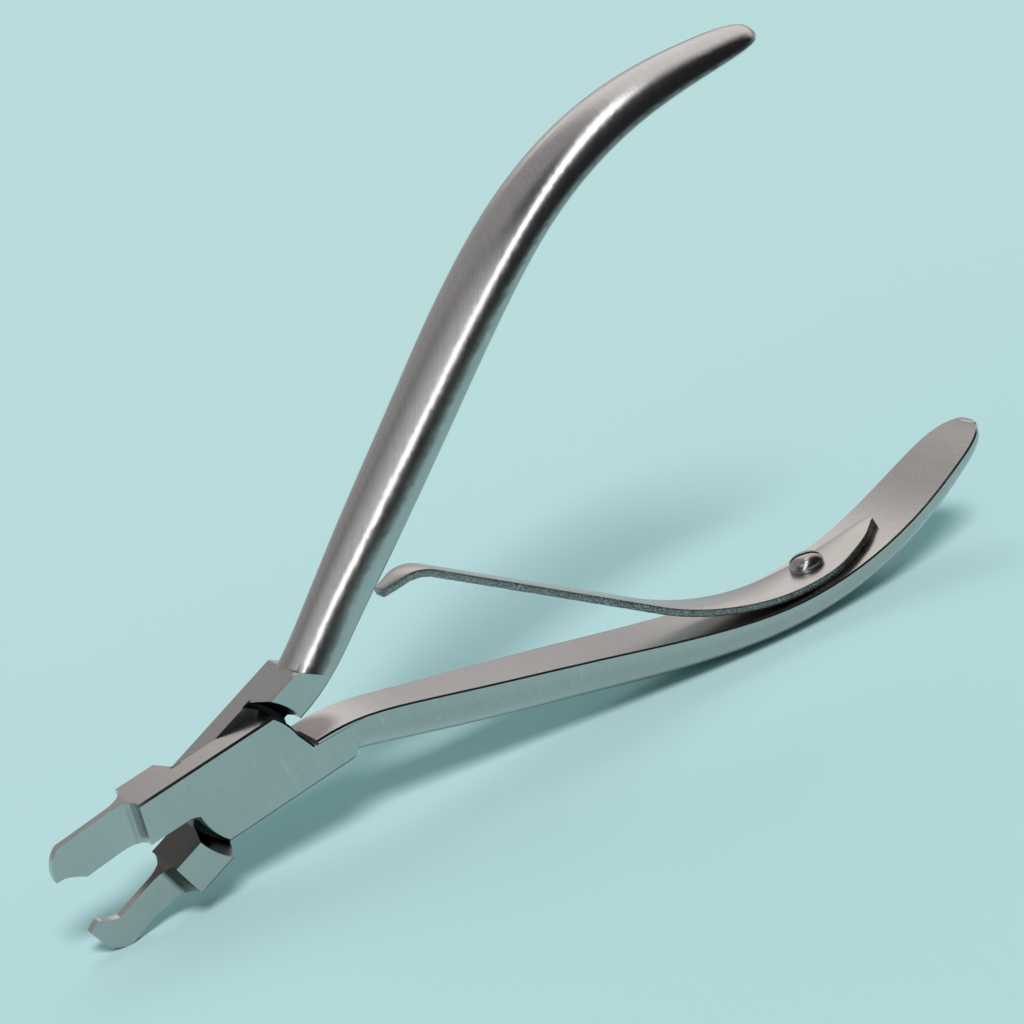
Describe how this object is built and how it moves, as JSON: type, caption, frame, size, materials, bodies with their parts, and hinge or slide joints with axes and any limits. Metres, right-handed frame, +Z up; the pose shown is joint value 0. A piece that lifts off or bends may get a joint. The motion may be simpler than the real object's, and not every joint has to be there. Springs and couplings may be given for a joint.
{
  "type": "crown crimping pliers",
  "caption": "Steel dental pliers with a half-lap joint, thin hooked beaks that mesh, bowed flat-faced handles and a leaf spring that holds them open.",
  "frame": {"origin": "on the floor under the middle of the pliers' box, as they stand on edge on the lower handle's belly and the lower beak", "axes": "+X towards the handles, -X towards the beaks, +Z up, +Y along the joint's axis away from the side with the nearer lap plate"},
  "size_m": [0.1274, 0.0126, 0.0714],
  "materials": {
    "forged_steel": "satin, brushed along the thickness of the joint and across the handles",
    "spring_steel": "satin strip with sheared edges",
    "screw_steel": "turned"
  },
  "bodies": {
    "lower_half": {"lower_handle_half": "forged_steel", "pivot_screw": "screw_steel", "leaf_spring": "spring_steel", "spring_screw": "screw_steel"},
    "upper_half": {"upper_handle_half": "forged_steel"}
  },
  "joints": [
    {"name": "lap_joint", "type": "hinge", "parent": "lower_half", "child": "upper_half", "pos_m": [-0.04041, 0, 0.01274], "axis": [0, 1, 0], "range_deg": [-12, 16.1], "stiffness_Nm_per_rad": 1, "deforming": ["leaf_spring"]}
  ]
}
